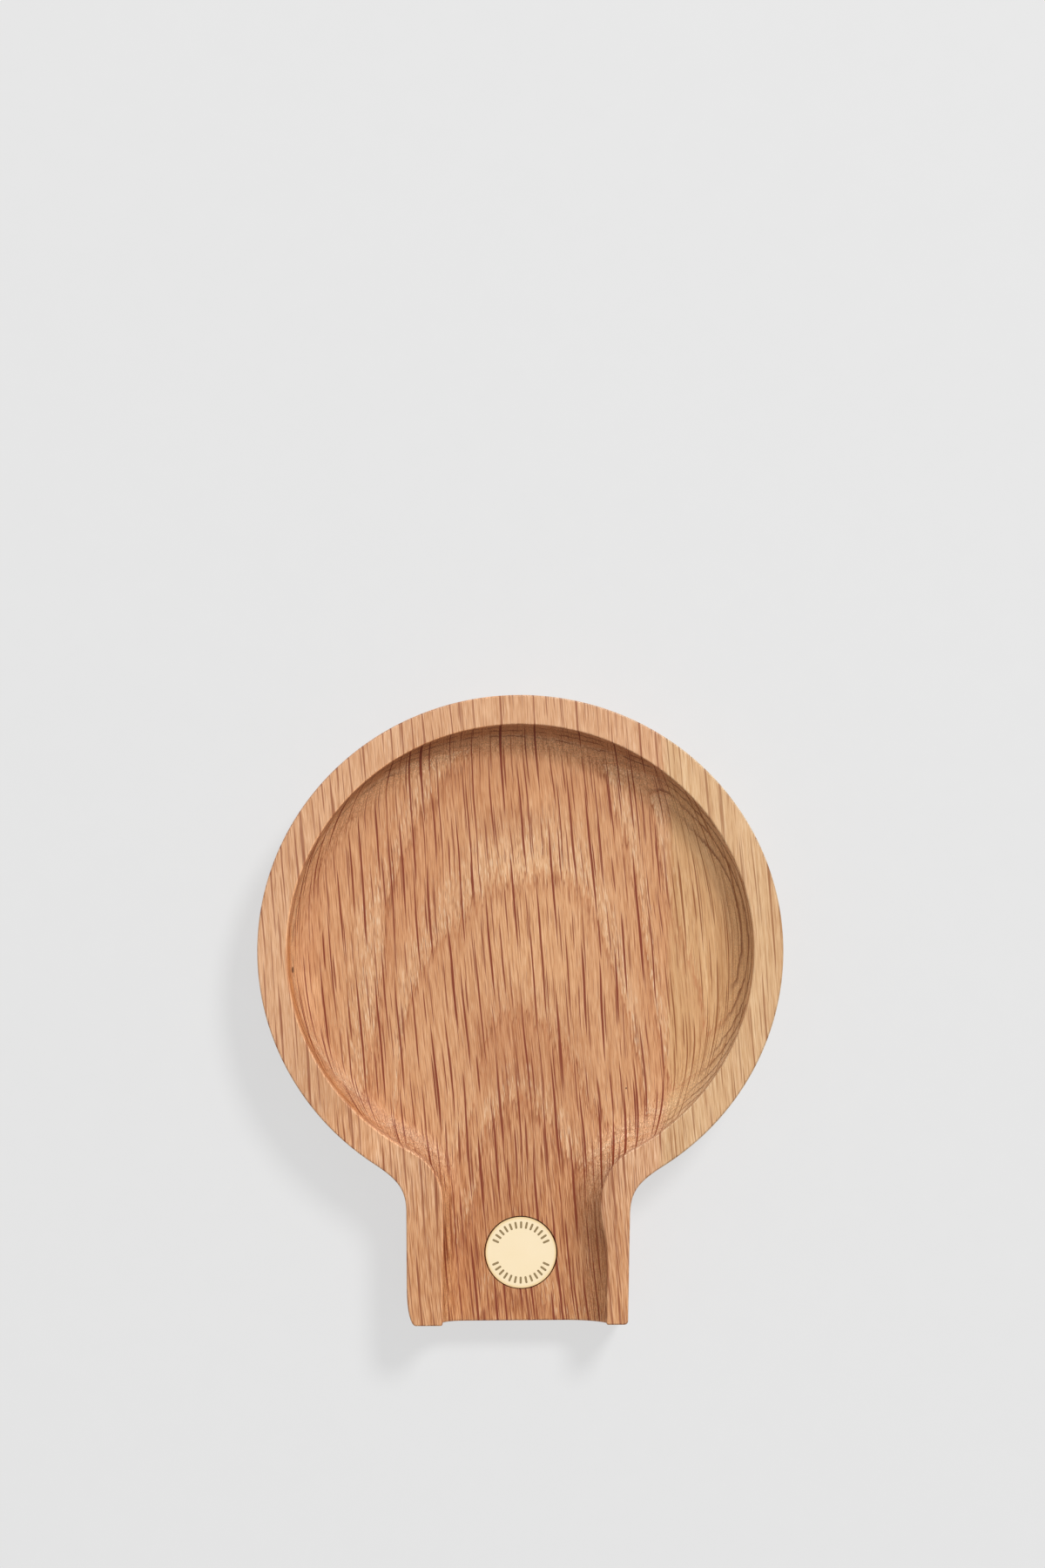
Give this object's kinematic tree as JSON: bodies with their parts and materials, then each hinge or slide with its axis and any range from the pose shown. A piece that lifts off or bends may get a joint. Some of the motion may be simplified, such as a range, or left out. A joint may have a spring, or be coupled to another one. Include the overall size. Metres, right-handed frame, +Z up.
{
  "type": "spoon rest",
  "caption": "Solid oak spoon rest: a shallow round bowl with a short open-ended neck, and a plain brass disc let into the channel floor.",
  "frame": {"origin": "on the table, under the middle of the overall length and width", "axes": "+Z up out of the bowl, +Y along the length from the neck's open end towards the bowl, +X to the right of someone who looks from the neck towards the bowl"},
  "size_m": [0.1204, 0.1446, 0.018],
  "materials": {
    "oiled_oak": "hand sanded, matt oil",
    "satin_brass": "brushed satin, edge broken",
    "bonding_film": "thin transfer adhesive"
  },
  "bodies": {
    "root": {"oak_body": "oiled_oak", "brass_disc": "satin_brass", "bonding_film": "bonding_film"}
  },
  "joints": []
}
